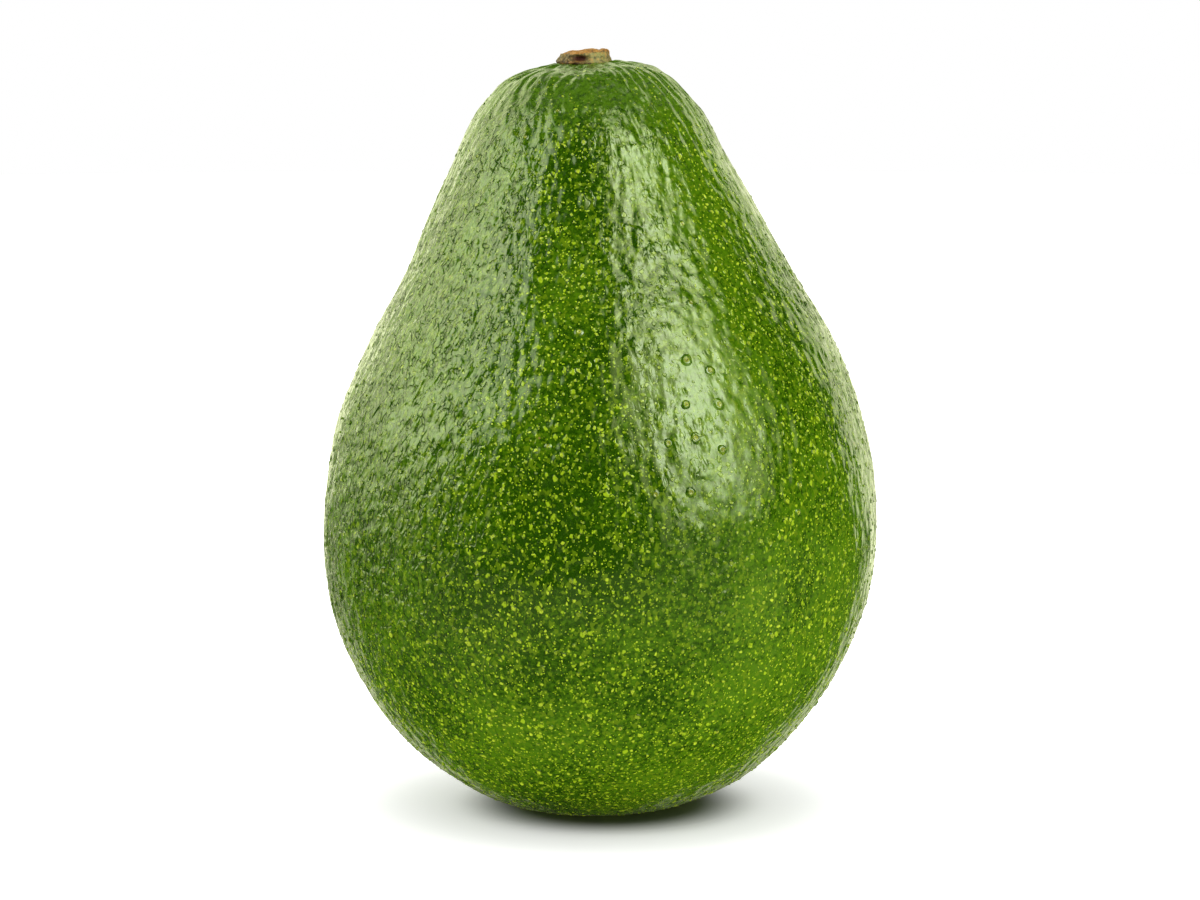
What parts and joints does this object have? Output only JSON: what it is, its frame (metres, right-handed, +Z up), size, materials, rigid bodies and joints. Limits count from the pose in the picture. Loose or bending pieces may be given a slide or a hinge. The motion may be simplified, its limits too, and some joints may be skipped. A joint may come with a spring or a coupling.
{
  "type": "whole avocado",
  "caption": "Whole green-skinned avocado, pear-shaped and pebbly, standing on its blossom end with a dry stalk stub at the crown.",
  "frame": {"origin": "centre of the flat resting spot at the fruit's blossom end", "axes": "+Z up through the crown and the stalk stub, +X to the right of the side first seen, +Y away from it"},
  "size_m": [0.076, 0.0737, 0.1046],
  "materials": {
    "avocado_skin": "waxy semi-gloss pebbled rind with yellow-green lenticels",
    "stalk": "dry fibrous stalk, tan at its curled rim and maroon in its hollow"
  },
  "bodies": {
    "root": {"fruit": "avocado_skin", "stem_stub": "stalk"}
  },
  "joints": []
}
